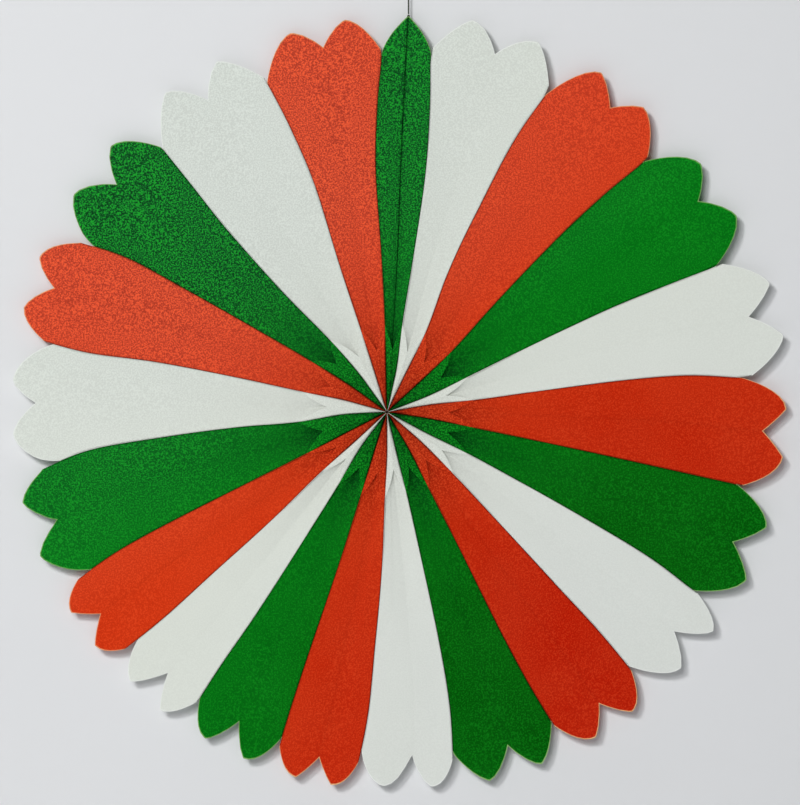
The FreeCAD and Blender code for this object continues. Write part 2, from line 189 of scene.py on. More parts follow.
@dataclass(frozen=True)
class Arch:
    """Outline of the narrow closing petal: one pointed arch."""

    tip: tuple[float, float] = (0.5, -2.8)
    ends: tuple[float, float] = (17.0, 17.0)

    ACROSS = (0.0, 0.06, 0.22, 0.52, 0.74, 0.92, 1.0)
    DROP = (0.0, 0.5, 2.6, 7.0, 11.0, 15.2, 18.3)

    @property
    def notch(self) -> tuple[float, float]:
        """Where the petal's middle line meets the outline."""
        return self.tip

    def depth(self, share: float) -> float:
        """Depth of the outline below the tip circle.

        Args:
            share: place across the petal, from 0 to 1 clockwise.

        Returns:
            The depth in millimetres.
        """
        aside = abs(share - self.tip[0]) / 0.5
        end = self.ends[0] if share < self.tip[0] else self.ends[1]
        return self.tip[1] + through(self.ACROSS, self.DROP, aside) * (end - self.tip[1]) / 18.3

    def marks(self) -> tuple[float, ...]:
        """Shares at which the outline needs a column of its own."""
        return (0.47, self.tip[0], 0.53)


@dataclass
class TipCircle:
    """Circle through the tips of the lobes, whose centre is a little off the hub."""

    radius: float = 200.0
    right: float = 6.5
    up: float = 2.6

    def distance(self, bearing: float) -> float:
        """Distance from the hub to the circle along a bearing."""
        turn = math.radians(bearing)
        along = self.right * math.sin(turn) + self.up * math.cos(turn)
        shift = self.right**2 + self.up**2
        return along + math.sqrt(self.radius**2 - shift + along**2)


@dataclass
class FoldHeights:
    """Heights of the folded paper towards the viewer, in millimetres.

    Inside the chevron the petal is a flat-topped ridge between deep crevices at the seams.
    Outside it the seams are crests, and the middle dips into a pit behind the chevron's point.
    """

    crests: tuple[float, ...] = (2.9, 2.2, 1.8, 1.6, 1.45, 0.5)
    crevice: float = 3.6
    shoulder: float = 0.2
    roof: float = 0.5
    pit: float = 2.3
    pit_fall: float = 3.0
    pit_run: float = 24.0
    sag: float = 0.45
    rise: float = 20.0

    STATIONS = (2.0, 7.0, 14.0, 32.0, 46.0, 190.0)

    def crest(self, distance: float) -> float:
        """Height of the crests at a distance from the hub."""
        return through(self.STATIONS, self.crests, distance)

    def height(self, aside: float, distance: float, line: float, foot: float, half: float) -> float:
        """Height of the folds before they are softened.

        Args:
            aside: 0 on the petal's middle and 1 on a seam.
            distance: distance from the hub.
            line: distance of the chevron on this column.
            foot: distance of the chevron's foot on this side's seam.
            half: width of half the petal at this distance.

        Returns:
            The height towards the viewer.
        """
        roof = self.roof * aside * (1 - aside**4)
        if distance < line:
            edge = math.exp(-half / self.shoulder)
            plunge = (math.exp(-(1 - aside) * half / self.shoulder) - edge) / (1 - edge)
            depth = self.crevice * (1 - ease(foot - self.rise, foot, distance))
            return self.crest(distance) - roof - depth * plunge
        past = distance - line
        pit = self.pit * (1 - math.exp(-past / self.pit_fall)) * math.exp(-past / self.pit_run)
        sag = self.sag * ease(0.0, 30.0, past)
        dip = pit * (1 - aside) ** 0.8 + sag * (1 - aside) + roof * math.exp(-past / 8)
        return self.crest(distance) - dip


@dataclass(frozen=True)
class FoldShade:
    """How much painted shade a sheet's folds get, from 0 to 1, and how far each shade reaches in
    millimetres.
    """

    hub: float = 0.5
    ridge: float = 0.12
    ridge_span: tuple[float, float] = (8.0, 40.0)
    crevice: float = 0.95
    crevice_reach: float = 0.6
    crevice_run: float = 16.0
    gather_span: tuple[float, float] = (3.0, 16.0)
    valley_run: float = 26.0
    crease: float = 0.1
    open_crease: float = 0.5
    crease_reach: float = 0.9
    edge: float = 0.45
    edge_reach: float = 0.4

    def inside(self, aside: float, distance: float, foot: float, to_seam: float) -> float:
        """Painted shade of the folds between the hub and the chevron: near the hub, in the crevices
        at the seams and where the leaves gather.

        Args:
            aside: 0 on the petal's middle and 1 on a seam.
            distance: distance from the hub.
            foot: distance of the chevron line on this column.
            to_seam: distance to the seam.

        Returns:
            The shade.
        """
        ridge = blend(self.hub, self.ridge, ease(*self.ridge_span, distance))
        near = math.exp(-to_seam / self.crevice_reach)
        crevice = self.crevice * near * ease(foot, foot - self.crevice_run, distance)
        gather = (1 - ease(*self.gather_span, distance)) * ease(-0.5, 0.3, aside)
        return max(ridge, crevice, gather)

    def outside(self, to_middle: float, to_seam: float, parted: bool) -> float:
        """Painted shade of the folds between the chevron and the rim, along the middle crease and
        the seams.

        Args:
            to_middle: distance to the middle crease.
            to_seam: distance to the seam.
            parted: whether two separate leaves meet in the middle.

        Returns:
            The shade.
        """
        crease = self.open_crease if parted else self.crease
        return max(crease * math.exp(-to_middle / self.crease_reach), self.line(to_seam))

    def line(self, away: float) -> float:
        """Painted shade along a sharp fold, at a distance from it."""
        return self.edge * math.exp(-away / self.edge_reach)

    def valley(self, aside: float, past: float) -> float:
        """Painted shade of the valley at a distance past the chevron line."""
        return math.exp(-past / self.valley_run) * (1 - ease(0.1, 1.0, aside) * 0.6)


@dataclass
class GridRow:
    """One row of a sheet's points, with one value of each mark for every point."""

    at_rim: bool
    points: list[Vector] = field(default_factory=list)
    marks: dict[str, list[float]] = field(default_factory=lambda: {mark: [] for mark in MARKS})

    def add(self, point: Vector, marks: dict[str, float]) -> None:
        """Adds a point with its marks."""
        self.points.append(point)
        for mark, value in marks.items():
            self.marks[mark].append(value)


def softened(heights: list[list[float]]) -> list[list[float]]:
    """Rounds sharp folds by averaging heights with their neighbours.

    Args:
        heights: one height for each row and column. The outer columns only average along
            their own line.

    Returns:
        The softened heights.
    """
    last = len(heights[0]) - 1
    fresh = [row[:] for row in heights]
    for r in range(1, len(heights) - 1):
        for c in range(last + 1):
            along = (heights[r - 1][c] + heights[r + 1][c]) / 2
            across = (heights[r][c - 1] + heights[r][c + 1]) / 2 if 0 < c < last else along
            fresh[r][c] = heights[r][c] * 0.4 + along * 0.3 + across * 0.3
    return fresh


def grid_mesh(name: str, rows: list[GridRow]) -> bpy.types.Mesh:
    """Turns rows of points into a mesh with one float attribute for each mark."""
    across = len(rows[0].points)
    vertices = [tuple(point * MM) for row in rows for point in row.points]
    faces = []
    for r in range(len(rows) - 1):
        for c in range(across - 1):
            a = r * across + c
            faces.append((a, a + across, a + across + 1, a + 1))
    mesh = bpy.data.meshes.new(name)
    mesh.from_pydata(vertices, [], faces)
    for mark in MARKS:
        layer = mesh.attributes.new(mark, "FLOAT", "POINT")
        layer.data.foreach_set("value", [value for row in rows for value in row.marks[mark]])
    mesh.shade_smooth()
    return mesh


def add_object(
    name: str, mesh: bpy.types.Mesh, finish: "Finish", nodes: tuple[str, ...]
) -> bpy.types.Object:
    """Puts a dressed mesh in the scene in place of CAD nodes.

    Args:
        name: the piece's name.
        mesh: its mesh, in metres in the part's frame.
        finish: its finish.
        nodes: the CAD nodes that it stands for.

    Returns:
        The new object.
    """
    made = bpy.data.objects.new(name, mesh)
    bpy.context.scene.collection.objects.link(made)
    mesh.materials.append(finish.material())
    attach(made, "root")
    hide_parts(*nodes)
    LOG.info("%s: %d faces, %s", name, len(mesh.polygons), finish.slot)
    return made


class NodeTree:
    """Short calls to place and join shader nodes."""

    def __init__(self, tree: bpy.types.NodeTree) -> None:
        self.tree = tree

    def add(self, kind: str, **settings: object) -> bpy.types.Node:
        """Adds a node and sets its properties."""
        node = self.tree.nodes.new(kind)
        for key, value in settings.items():
            setattr(node, key, value)
        return node

    def feed(self, socket: bpy.types.NodeSocket, value: object) -> None:
        """Joins a socket to another one, or sets its value."""
        if isinstance(value, bpy.types.NodeSocket):
            self.tree.links.new(value, socket)
        else:
            socket.default_value = value

    def calculate(self, operation: str, *values: object) -> bpy.types.NodeSocket:
        """Result of a Math node on sockets or numbers."""
        node = self.add("ShaderNodeMath", operation=operation)
        for index, value in enumerate(values):
            self.feed(node.inputs[index], value)
        return node.outputs[0]

    def mix(self, share: object, first: object, second: object) -> bpy.types.NodeSocket:
        """Colour result of a Mix node.

        Args:
            share: how much of the second colour, as a number or socket.
            first: first colour.
            second: second colour.

        Returns:
            The mixed colour's socket.
        """
        node = self.add("ShaderNodeMix", data_type="RGBA", blend_type="MIX")
        self.feed(node.inputs[0], share)
        self.feed(node.inputs[6], first)
        self.feed(node.inputs[7], second)
        return node.outputs[2]

    def spread(
        self, value: object, low: float, high: float, to_low: float, to_high: float
    ) -> bpy.types.NodeSocket:
        """Value moved from one range to another and kept inside it.

        Args:
            value: socket or number to move.
            low: start of the range it comes from.
            high: end of the range it comes from.
            to_low: start of the range it goes to.
            to_high: end of the range it goes to.

        Returns:
            The moved value's socket.
        """
        node = self.add("ShaderNodeMapRange", clamp=True)
        for index, number in enumerate((value, low, high, to_low, to_high)):
            self.feed(node.inputs[index], number)
        return node.outputs[0]

    def attribute(self, name: str) -> bpy.types.NodeSocket:
        """Value of a float attribute of the mesh."""
        node = self.add("ShaderNodeAttribute", attribute_name=name)
        return node.outputs["Fac"]

    def share_of(self, value: object, factor: float) -> bpy.types.NodeSocket:
        """Value times a factor."""
        return self.calculate("MULTIPLY", value, factor)

    def bump(self, height: object, strength: float, depth: float) -> bpy.types.NodeSocket:
        """Normal from a Bump node.

        Args:
            height: the relief's socket.
            strength: how strong the relief is.
            depth: its depth in metres.

        Returns:
            The normal's socket.
        """
        node = self.add("ShaderNodeBump")
        node.inputs["Strength"].default_value = strength
        node.inputs["Distance"].default_value = depth
        self.feed(node.inputs["Height"], height)
        return node.outputs["Normal"]


def new_group(
    name: str,
    inputs: tuple[tuple[str, str, object], ...],
    outputs: tuple[tuple[str, str], ...],
) -> tuple[bpy.types.NodeTree, NodeTree, bpy.types.Node, bpy.types.Node]:
    """Starts a shader node group.

    Args:
        name: the group's name.
        inputs: name, socket kind and first value of each input.
        outputs: name and socket kind of each output.

    Returns:
        The group, a helper for its nodes, its input node and its output node.
    """
    group = bpy.data.node_groups.new(name, "ShaderNodeTree")
    for label, kind, value in inputs:
        socket = group.interface.new_socket(label, in_out="INPUT", socket_type=kind)
        if value is not None:
            socket.default_value = value
    for label, kind in outputs:
        group.interface.new_socket(label, in_out="OUTPUT", socket_type=kind)
    nodes = NodeTree(group)
    return group, nodes, nodes.add("NodeGroupInput"), nodes.add("NodeGroupOutput")


def shared_group(name: str) -> bpy.types.NodeTree:
    """Returns one of the shared groups, and builds it on first use."""
    made = bpy.data.node_groups.get(name)
    return made or {"paper_grain": paper_grain, "fold_shade_and_cut_edge": fold_shade_and_cut_edge}[name]()


def paper_grain() -> bpy.types.NodeTree:
    """Builds the group that gives paper its speckle, its fibres and its fine relief."""
    group, nodes, given, result = new_group(
        "paper_grain",
        (("Vector", "NodeSocketVector", None), ("Scale", "NodeSocketFloat", 1.0)),
        (
            ("Speckle", "NodeSocketFloat"),
            ("Cloud", "NodeSocketFloat"),
            ("Relief", "NodeSocketFloat"),
        ),
    )
    layers = []
    for scale, detail, rough in ((1250.0, 2.0, 0.6), (26.0, 3.0, 0.55), (2400.0, 2.0, 0.6)):
        layer = nodes.add("ShaderNodeTexNoise", noise_dimensions="3D")
        nodes.feed(layer.inputs["Vector"], given.outputs["Vector"])
        nodes.feed(layer.inputs["Scale"], nodes.calculate("MULTIPLY", given.outputs["Scale"], scale))
        layer.inputs["Detail"].default_value = detail
        layer.inputs["Roughness"].default_value = rough
        layers.append(layer.outputs["Fac"])
    speckle = nodes.spread(layers[0], 0.4, 0.6, 0.0, 1.0)
    cloud = nodes.spread(layers[1], 0.3, 0.7, 0.0, 1.0)
    relief = nodes.calculate("ADD", nodes.share_of(layers[0], 0.6), nodes.share_of(layers[2], 0.4))
    for label, value in (("Speckle", speckle), ("Cloud", cloud), ("Relief", relief)):
        nodes.feed(result.inputs[label], value)
    return group


def fold_shade_and_cut_edge() -> bpy.types.NodeTree:
    """Builds the group that turns the fold mark into uneven painted shade and the rim mark into an
    uneven cut edge.
    """
    group, nodes, given, result = new_group(
        "fold_shade_and_cut_edge",
        (
            ("Vector", "NodeSocketVector", None),
            ("Fold", "NodeSocketFloat", 0.0),
            ("Rim", "NodeSocketFloat", 0.0),
        ),
        (("Shade", "NodeSocketFloat"), ("Cut Edge", "NodeSocketFloat")),
    )
    layer = nodes.add("ShaderNodeTexNoise", noise_dimensions="3D")
    nodes.feed(layer.inputs["Vector"], given.outputs["Vector"])
    layer.inputs["Scale"].default_value = 140.0
    layer.inputs["Detail"].default_value = 3.0
    uneven = nodes.spread(layer.outputs["Fac"], 0.3, 0.7, 0.75, 1.1)
    nodes.feed(result.inputs["Shade"], nodes.calculate("MULTIPLY", given.outputs["Fold"], uneven))
    nodes.feed(result.inputs["Cut Edge"], nodes.calculate("MULTIPLY", given.outputs["Rim"], uneven))
    return group


@dataclass(frozen=True)
class Finish:
    """A material that is built once and shared by its pieces."""

    name: str
    slot: str

    def material(self) -> bpy.types.Material:
        """The finish's material, built on first use."""
        made = bpy.data.materials.get(self.name)
        if made is None:
            made = bpy.data.materials.new(self.name)
            made.use_nodes = True
            nodes = NodeTree(made.node_tree)
            self.dress(nodes, made.node_tree.nodes["Principled BSDF"])
        return made

    def dress(self, nodes: NodeTree, shader: bpy.types.Node) -> None:
        """Joins the finish's patterns to its shader."""
        raise NotImplementedError


@dataclass(frozen=True)
class PaperFinish(Finish):
    """Matte craft paper with a speckled grain and a pale cut edge, painted shade in its folds and
    valleys, painted sheen towards the upper left and painted shade towards the lower right.
    """

    base: Rgb = (0.8, 0.8, 0.8, 1.0)
    light: Rgb = (0.9, 0.9, 0.9, 1.0)
    # Deep colour: dark grain specks, and the painted shade in folds and valleys.
    deep: Rgb = (0.4, 0.4, 0.4, 1.0)
    # Washed-out colour of the painted sheen towards the upper left.
    painted_sheen: Rgb = (0.8, 0.8, 0.8, 1.0)
    # Darker colour of the painted shade towards the lower right.
    painted_side_shade: Rgb = (0.8, 0.8, 0.8, 1.0)
    edge: Rgb = (0.85, 0.85, 0.8, 1.0)
    speckle: float = 0.3
    # How strongly painted shade darkens the folds, and the valleys.
    shade: float = 0.9
    valley: float = 0.3
    cloud: float = 0.1
    rough: tuple[float, float] = (0.62, 0.82)
    relief: float = 0.00012

    def dress(self, nodes: NodeTree, shader: bpy.types.Node) -> None:
        """Joins grain, painted shade in folds and valleys, painted sheen, painted shade on the lower
        right and the cut edge to the shader.
        """
        where = nodes.add("ShaderNodeTexCoord").outputs["Object"]
        grain = nodes.add("ShaderNodeGroup", node_tree=shared_group("paper_grain"))
        nodes.feed(grain.inputs["Vector"], where)
        shade_and_edge = nodes.add("ShaderNodeGroup", node_tree=shared_group("fold_shade_and_cut_edge"))
        nodes.feed(shade_and_edge.inputs["Vector"], where)
        nodes.feed(shade_and_edge.inputs["Fold"], nodes.attribute("fold"))
        nodes.feed(shade_and_edge.inputs["Rim"], nodes.attribute("rim"))
        speckle = grain.outputs["Speckle"]
        # Painted shade: darker colour towards the lower right, away from the light.
        colour = nodes.mix(nodes.attribute("painted_side_shade"), self.base, self.painted_side_shade)
        # Painted sheen: washed-out colour towards the upper left, where the light falls.
        colour = nodes.mix(nodes.attribute("painted_sheen"), colour, self.painted_sheen)
        colour = nodes.mix(nodes.share_of(grain.outputs["Cloud"], self.cloud), colour, self.light)
        grit = nodes.spread(nodes.attribute("grit"), 0.0, 0.9, 0.3, 1.0)
        grit = nodes.share_of(grit, self.speckle)
        dark = nodes.calculate("MULTIPLY", nodes.calculate("SUBTRACT", 1.0, speckle), grit)
        pale = nodes.calculate("MULTIPLY", nodes.spread(speckle, 0.5, 1.0, 0.0, 1.0), grit)
        colour = nodes.mix(dark, colour, self.deep)
        colour = nodes.mix(pale, colour, self.light)
        # Painted shade in the folds, the crevices and near the hub.
        colour = nodes.mix(nodes.share_of(shade_and_edge.outputs["Shade"], self.shade), colour, self.deep)
        # Painted shade in the valley behind each chevron's point.
        colour = nodes.mix(nodes.share_of(nodes.attribute("valley"), self.valley), colour, self.deep)
        colour = nodes.mix(shade_and_edge.outputs["Cut Edge"], colour, self.edge)
        nodes.feed(shader.inputs["Base Color"], colour)
        nodes.feed(shader.inputs["Roughness"], nodes.spread(speckle, 0.0, 1.0, *self.rough))
        nodes.feed(shader.inputs["Normal"], nodes.bump(grain.outputs["Relief"], 0.35, self.relief))
        shader.inputs["Specular IOR Level"].default_value = 0.02


@dataclass(frozen=True)
class ThreadFinish(Finish):
    """Twisted cotton thread, darker between its plies."""

    base: Rgb = (0.03, 0.036, 0.028, 1.0)
    light: Rgb = (0.08, 0.09, 0.07, 1.0)
    grain: float = 3.0
    rough: tuple[float, float] = (0.75, 0.95)
    relief: float = 0.00008

    def dress(self, nodes: NodeTree, shader: bpy.types.Node) -> None:
        """Joins the fibres' streaks to the shader."""
        where = nodes.add("ShaderNodeTexCoord").outputs["Object"]
        grain = nodes.add("ShaderNodeGroup", node_tree=shared_group("paper_grain"))
        nodes.feed(grain.inputs["Vector"], where)
        grain.inputs["Scale"].default_value = self.grain
        colour = nodes.mix(grain.outputs["Speckle"], self.base, self.light)
        rough = nodes.spread(grain.outputs["Cloud"], 0.0, 1.0, *self.rough)
        nodes.feed(shader.inputs["Base Color"], colour)
        nodes.feed(shader.inputs["Roughness"], rough)
        nodes.feed(shader.inputs["Normal"], nodes.bump(grain.outputs["Relief"], 0.5, self.relief))
        shader.inputs["Specular IOR Level"].default_value = 0.25


PAPERS = {
    Colour.GREEN: PaperFinish(
        "green_craft_paper",
        "green_paper",
        base=(0.0005, 0.19, 0.007, 1.0),
        light=(0.014, 0.38, 0.024, 1.0),
        deep=(0.0003, 0.018, 0.004, 1.0),
        painted_sheen=(0.01, 0.15, 0.03, 1.0),
        painted_side_shade=(0.0002, 0.088, 0.0003, 1.0),
        edge=(0.35, 0.6, 0.2, 1.0),
        speckle=0.78,
        shade=0.98,
        valley=0.75,
    ),
    Colour.WHITE: PaperFinish(
        "white_craft_paper",
        "white_paper",
        base=(0.69, 0.725, 0.655, 1.0),
        light=(0.76, 0.79, 0.74, 1.0),
        deep=(0.36, 0.36, 0.33, 1.0),
        painted_sheen=(0.65, 0.7, 0.645, 1.0),
        painted_side_shade=(0.69, 0.72, 0.68, 1.0),
        edge=(0.85, 0.87, 0.84, 1.0),
        speckle=0.26,
        shade=0.25,
    ),
    Colour.RED: PaperFinish(
        "red_craft_paper",
        "red_paper",
        base=(0.65, 0.036, 0.005, 1.0),
        light=(0.88, 0.12, 0.035, 1.0),
        deep=(0.09, 0.003, 0.002, 1.0),
        painted_sheen=(0.78, 0.092, 0.044, 1.0),
        painted_side_shade=(0.5, 0.01, 0.0005, 1.0),
        edge=(0.85, 0.55, 0.25, 1.0),
        speckle=0.55,
        shade=0.85,
        valley=0.28,
    ),
}
DARK_THREAD = ThreadFinish("dark_cotton_thread", "dark_thread")
TIE_THREAD = ThreadFinish(
    "tie_cotton_thread", "tie_thread", base=(0.12, 0.09, 0.05, 1.0), light=(0.42, 0.33, 0.2, 1.0)
)

# One line for each seam, clockwise from the seam between the closing petal and petal 2.
SEAMS = tuple(
    Seam(bearings)
    for bearings in (
        (12.9, 10.2, 9.75, 9.25, 8.2, 7.1),
        (25.9, 26.1, 23.7, 24.35, 25.1, 26.5),
        (47.7, 47.1, 45.0, 44.45, 44.9, 45.7),
        (69.0, 66.8, 65.4, 65.1, 65.6, 66.1),
        (80.3, 82.0, 82.15, 82.35, 83.0, 84.4),
        (99.0, 100.1, 100.8, 101.3, 101.55, 101.7),
        (118.3, 117.3, 117.65, 118.35, 119.0, 120.2),
        (130.7, 132.6, 134.45, 135.55, 135.9, 136.5),
        (149.2, 151.1, 151.95, 152.6, 152.5, 152.0),
        (166.7, 166.5, 166.8, 167.2, 167.95, 169.2),
        (179.8, 181.2, 181.7, 182.9, 183.5, 184.6),
        (197.8, 197.4, 197.45, 197.9, 198.0, 197.9),
        (217.0, 214.1, 213.1, 212.9, 213.25, 213.2),
        (227.2, 227.7, 226.85, 227.15, 227.25, 227.8),
        (243.0, 242.7, 242.95, 243.05, 242.7, 241.6),
        (267.0, 263.8, 264.2, 263.5, 262.7, 260.5),
        (285.6, 283.6, 283.0, 282.2, 281.2, 281.6),
        (305.7, 304.1, 302.5, 301.35, 300.7, 298.9),
        (324.4, 322.2, 319.3, 318.75, 319.3, 319.6),
        (342.9, 342.4, 342.1, 342.35, 341.2, 339.9),
        (358.7, 358.7, 358.1, 357.35, 358.1, 359.1),
    )
)

# Outline and chevron point of each two-lobed petal, clockwise from petal 2.
OUTLINES = (
    (Lobes((0.27, -4.2), (0.5, 10.4), (0.78, -2.5), (13.3, 16.9), (1.31, 1.84)), 32.8),
    (Lobes((0.3, -2.6), (0.51, 10.1), (0.71, -0.5), (21.6, 17.5), (1.59, 1.32)), 32.0),
    (Lobes((0.29, -0.9), (0.5, 11.7), (0.73, -1.0), (20.4, 20.2), (1.62, 1.46)), 33.0),
    (Lobes((0.29, -2.5), (0.5, 12.9), (0.71, -2.6), (17.3, 16.9), (1.48, 1.27)), 31.6),
    (Lobes((0.3, -0.8), (0.49, 11.0), (0.7, -0.6), (22.4, 17.6), (1.89, 1.09)), 32.0),
    (Lobes((0.28, -0.4), (0.48, 13.2), (0.72, -1.1), (20.1, 19.8), (1.65, 1.23)), 33.0),
    (Lobes((0.23, 0.0), (0.44, 16.0), (0.67, 0.8), (18.3, 21.1), (1.68, 1.36)), 34.4),
    (Lobes((0.27, 1.1), (0.48, 14.4), (0.7, 0.7), (18.7, 16.6), (1.89, 1.26)), 32.0),
    (Lobes((0.25, 0.7), (0.47, 15.6), (0.72, 0.5), (18.7, 18.6), (1.41, 1.51)), 30.7),
    (Lobes((0.25, 2.3), (0.44, 19.4), (0.73, 3.2), (15.7, 20.8), (2.04, 1.79)), 29.7),
    (Lobes((0.3, 0.8), (0.49, 13.4), (0.71, 0.5), (14.9, 13.7), (2.13, 1.13)), 32.0),
    (Lobes((0.3, 0.5), (0.5, 16.7), (0.73, 0.7), (17.7, 16.8), (1.97, 1.34)), 32.0),
    (Lobes((0.28, -0.3), (0.47, 17.1), (0.71, 0.7), (14.7, 18.6), (1.71, 1.24)), 32.0),
    (Lobes((0.26, -0.7), (0.51, 11.2), (0.71, -1.0), (10.6, 10.9), (1.95, 1.12)), 32.0),
    (Lobes((0.31, -1.9), (0.54, 12.7), (0.76, -1.8), (18.9, 12.1), (1.49, 1.39)), 34.8),
    (Lobes((0.29, -0.9), (0.52, 11.3), (0.68, -1.0), (21.5, 17.6), (1.86, 1.57)), 31.1),
    (Lobes((0.26, -1.6), (0.51, 10.4), (0.72, -2.3), (13.0, 14.1), (1.79, 1.5)), 32.0),
    (Lobes((0.29, -1.7), (0.54, 13.2), (0.73, -1.8), (20.7, 17.4), (1.6, 1.6)), 36.3),
    (Lobes((0.28, -3.3), (0.52, 12.3), (0.72, -2.6), (18.2, 15.6), (1.3, 1.55)), 32.0),
    (Lobes((0.3, -2.0), (0.53, 9.3), (0.73, -2.8), (18.7, 14.7), (1.6, 1.52)), 32.0),
)


@dataclass
class FoldedSheet:
    """One folded sheet between two seams, or half of one.

    Half is 0 for a whole sheet, -1 for a left half leaf and 1 for a right one. The ends are the
    distances at which the flaps on the two seams end.
    """

    name: str
    colour: Colour
    left: Seam
    right: Seam
    outline: Lobes | Arch
    point: float = CLOSING_POINT
    half: int = 0
    seed: float = 0.0
    paper: float = 0.15
    folds: FoldHeights = field(default_factory=FoldHeights)
    shade: FoldShade = field(default_factory=FoldShade)
    circle: TipCircle = field(default_factory=TipCircle)
    inner_rows: int = 18
    outer_rows: int = 44
    columns: int = 24
    fold_radius: float = 0.32
    flap_back: float = -5.4
    flap_start: float = 12.0
    rim_band: float = 0.8
    hub_ends: tuple[float, float] = (0.7, 1.5)
    unevenness: float = 0.5
    most_turned: float = 3.0
    left_end: float = 0.0
    right_end: float = 0.0

    NEAR_LINE = (0.35, 0.8, 1.5, 2.5, 4.0)
    NEAR_MIDDLE = (0.49, 0.475, 0.45)
    NOTCH_DISTANCE = 185.0
    RIM_DISTANCE = 183.0

    def middle_share(self, distance: float) -> float:
        """Where the middle crease is, as a share of the way across, at a distance."""
        return blend(0.5, self.outline.notch[0], ease(self.point, self.NOTCH_DISTANCE, distance))

    def shares(self) -> list[float]:
        """Columns across the petal, with one on the middle crease at 0.5 and one on each tip."""
        steps = {0.5}
        for step in range(self.columns + 1):
            steps.add(round(0.5 - 0.5 * math.cos(math.pi * step / self.columns), 4))
        for side in self.NEAR_MIDDLE:
            steps.update((side, 1 - side))
        notch = self.outline.notch[0]
        for mark in self.outline.marks():
            before, after = mark / notch, 1 + (mark - notch) / (1 - notch)
            steps.add(round((before if mark <= notch else after) / 2, 4))
        wanted = sorted(steps)
        if self.half:
            wanted = [w for w in wanted if (w <= 0.5 if self.half < 0 else w >= 0.5)]
        return wanted

    def place(self, share: float, distance: float) -> float:
        """Bearing of a column at a distance. The middle column follows the middle crease."""
        left, right = self.left.bearing(distance), self.right.bearing(distance)
        if right < left:
            right += 360
        middle = blend(left, right, self.middle_share(distance))
        if share < 0.5:
            return blend(left, middle, share * 2)
        return blend(middle, right, share * 2 - 1)

    def rim(self, share: float) -> float:
        """Distance from the hub to the outline along a column."""
        notch = self.outline.notch[0]
        across = share * 2 * notch if share < 0.5 else blend(notch, 1.0, share * 2 - 1)
        bearing = self.place(share, self.RIM_DISTANCE)
        return self.circle.distance(bearing) - self.outline.depth(across)

    def foot(self, share: float) -> float:
        """Distance from the hub to the chevron line along a column."""
        end = self.left.foot if share < 0.5 else self.right.foot
        return blend(self.point, end, abs(share - 0.5) * 2)

    def rows(self, share: float) -> list[float]:
        """Distances of the grid's rows along a column, from the hub to the rim."""
        aside = abs(share - 0.5) * 2
        start = blend(*self.hub_ends, min(aside * 4, 1.0))
        foot, rim = self.foot(share), self.rim(share)
        near, far = foot - self.NEAR_LINE[-1], foot + self.NEAR_LINE[-1]
        steps = self.inner_rows
        rows = [start * (near / start) ** (step / steps) for step in range(steps)]
        rows += [foot - step for step in reversed(self.NEAR_LINE)]
        rows.append(foot)
        rows += [foot + step for step in self.NEAR_LINE[:-1]]
        for step in range(self.outer_rows + 1):
            part = step / self.outer_rows
            rows.append(blend(far, rim - self.rim_band, 0.6 * part**1.5 + 0.4 * part))
        return [*rows, rim - self.rim_band / 2, rim]

    def flap_distance(self, share: float, distance: float, rim: float) -> float:
        """Distance of a spot on a flap, so that the two flaps at a seam end at the same place.

        Args:
            share: the fold's place across the petal.
            distance: distance of the row at the fold.
            rim: distance to the outline at the fold.

        Returns:
            The distance from the hub.
        """
        end = {0.0: self.left_end, 1.0: self.right_end}.get(share, 0.0) or rim
        foot = self.foot(share)
        return distance if distance < foot else blend(foot, end, (distance - foot) / (rim - foot))

    def wave(self, share: float, distance: float) -> float:
        """Slow unevenness of hand-folded paper, in millimetres, with none on the seams."""
        spot = Vector((share * 1.6 + self.seed * 7.3, distance * 0.018, self.seed * 3.1))
        calm = math.sin(math.pi * share) if not self.half else abs(math.sin(2 * math.pi * share))
        return noise.noise(spot) * self.unevenness * calm * ease(40, 90, distance)

    def half_width(self, distance: float) -> float:
        """Half the petal's width at a distance, in millimetres."""
        width = (self.right.bearing(distance) - self.left.bearing(distance)) % 360
        return max(distance * math.radians(width) / 2, 0.15)

    def lean(self, bearing: float, towards: float, distance: float) -> float:
        """How far a spot lies towards a bearing: 1 at the rim there, and 0 on the other side."""
        return max(math.cos(math.radians(bearing - towards)), 0.0) * ease(0, 130, distance)

    def heights(self, shares: list[float], columns: list[list[float]]) -> list[list[float]]:
        """Heights of the softened folds.

        Args:
            shares: each column's place across the petal.
            columns: distances of the rows along each column.

        Returns:
            One height for each row and column.
        """
        heights = []
        for r in range(len(columns[0])):
            line = []
            for share, rows in zip(shares, columns):
                distance = rows[r]
                foot = self.left.foot if share < 0.5 else self.right.foot
                aside, half = abs(share - 0.5) * 2, self.half_width(distance)
                line.append(self.folds.height(aside, distance, self.foot(share), foot, half))
            heights.append(line)
        return softened(heights)

    def grid(self) -> list[GridRow]:
        """Lays out the sheet's mid surface, from one flap over the leaves to the other flap."""
        shares = self.shares()
        columns = [self.rows(share) for share in shares]
        heights = self.heights(shares, columns)
        count, last = len(heights), len(shares) - 1
        inset = self.paper / 2 + self.fold_radius
        grid = []
        for r, line in enumerate(heights):
            row = GridRow(at_rim=r >= count - 2)
            for c, share in enumerate(shares):
                distance, height = columns[c][r], line[c]
                bearing = self.place(share, distance)
                turned = min(math.degrees(inset / distance), self.most_turned)
                down = self.flap_distance(share, distance, columns[c][-1])
                if c == 0:
                    self.flap(row, share, down, height, 1)
                    bearing += turned
                elif c == last:
                    bearing -= turned
                point = in_frame(bearing, distance, height + self.wave(share, distance))
                row.add(point, self.marks_at(share, distance, bearing, row.at_rim))
                if c == last:
                    self.flap(row, share, down, height, -1)
            grid.append(row)
        return grid

